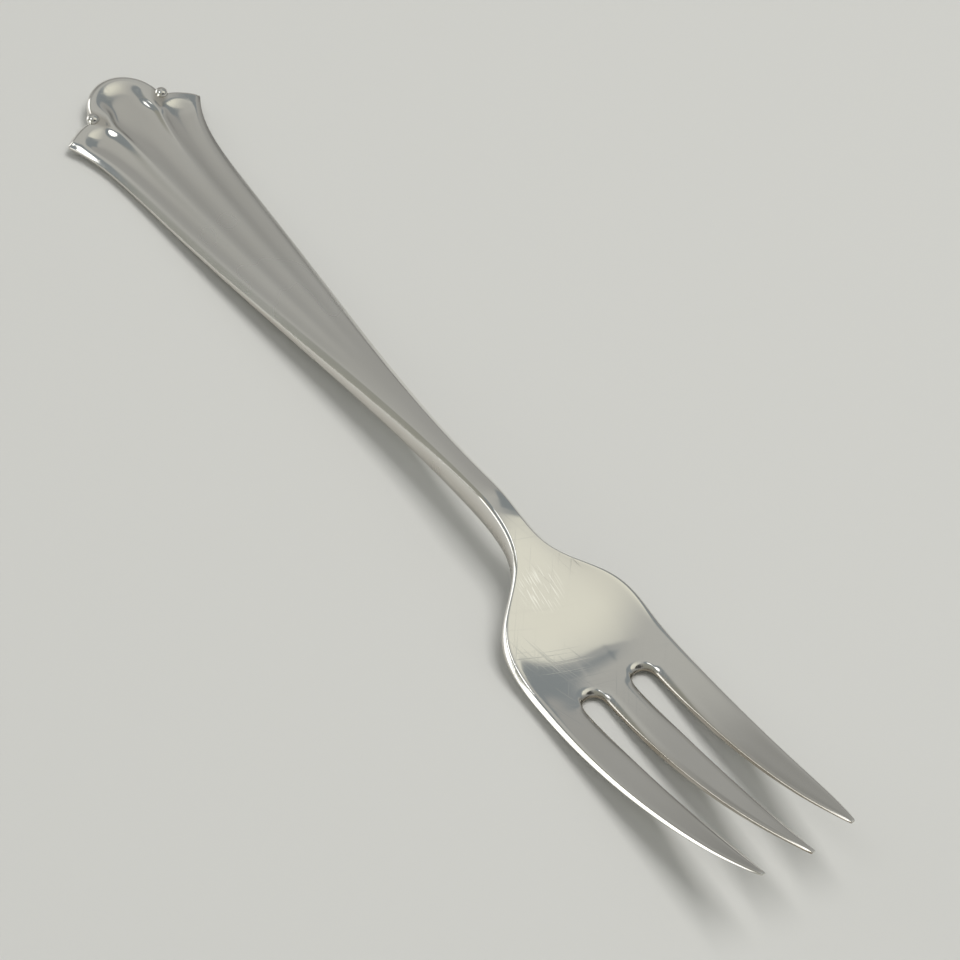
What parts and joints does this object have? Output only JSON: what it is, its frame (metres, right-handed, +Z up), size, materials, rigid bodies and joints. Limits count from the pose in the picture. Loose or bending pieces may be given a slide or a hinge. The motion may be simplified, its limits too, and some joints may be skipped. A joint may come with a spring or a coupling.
{
  "type": "pastry fork",
  "caption": "Small silver pastry fork with a fluted, scallop-ended handle, a slim stem, a shallow dished bowl and upswept tines.",
  "frame": {"origin": "on the table, under the middle of the fork's length, where it lies on its back", "axes": "+X from the handle end to the tine tips, +Y across the fork, +Z up from the table"},
  "size_m": [0.148, 0.0206, 0.0111],
  "materials": {
    "silver": "polished silver, softened by fine hairline scratches"
  },
  "bodies": {
    "root": {"handle": "silver", "stem": "silver", "bowl": "silver", "tine_left": "silver", "tine_middle": "silver", "tine_right": "silver"}
  },
  "joints": []
}
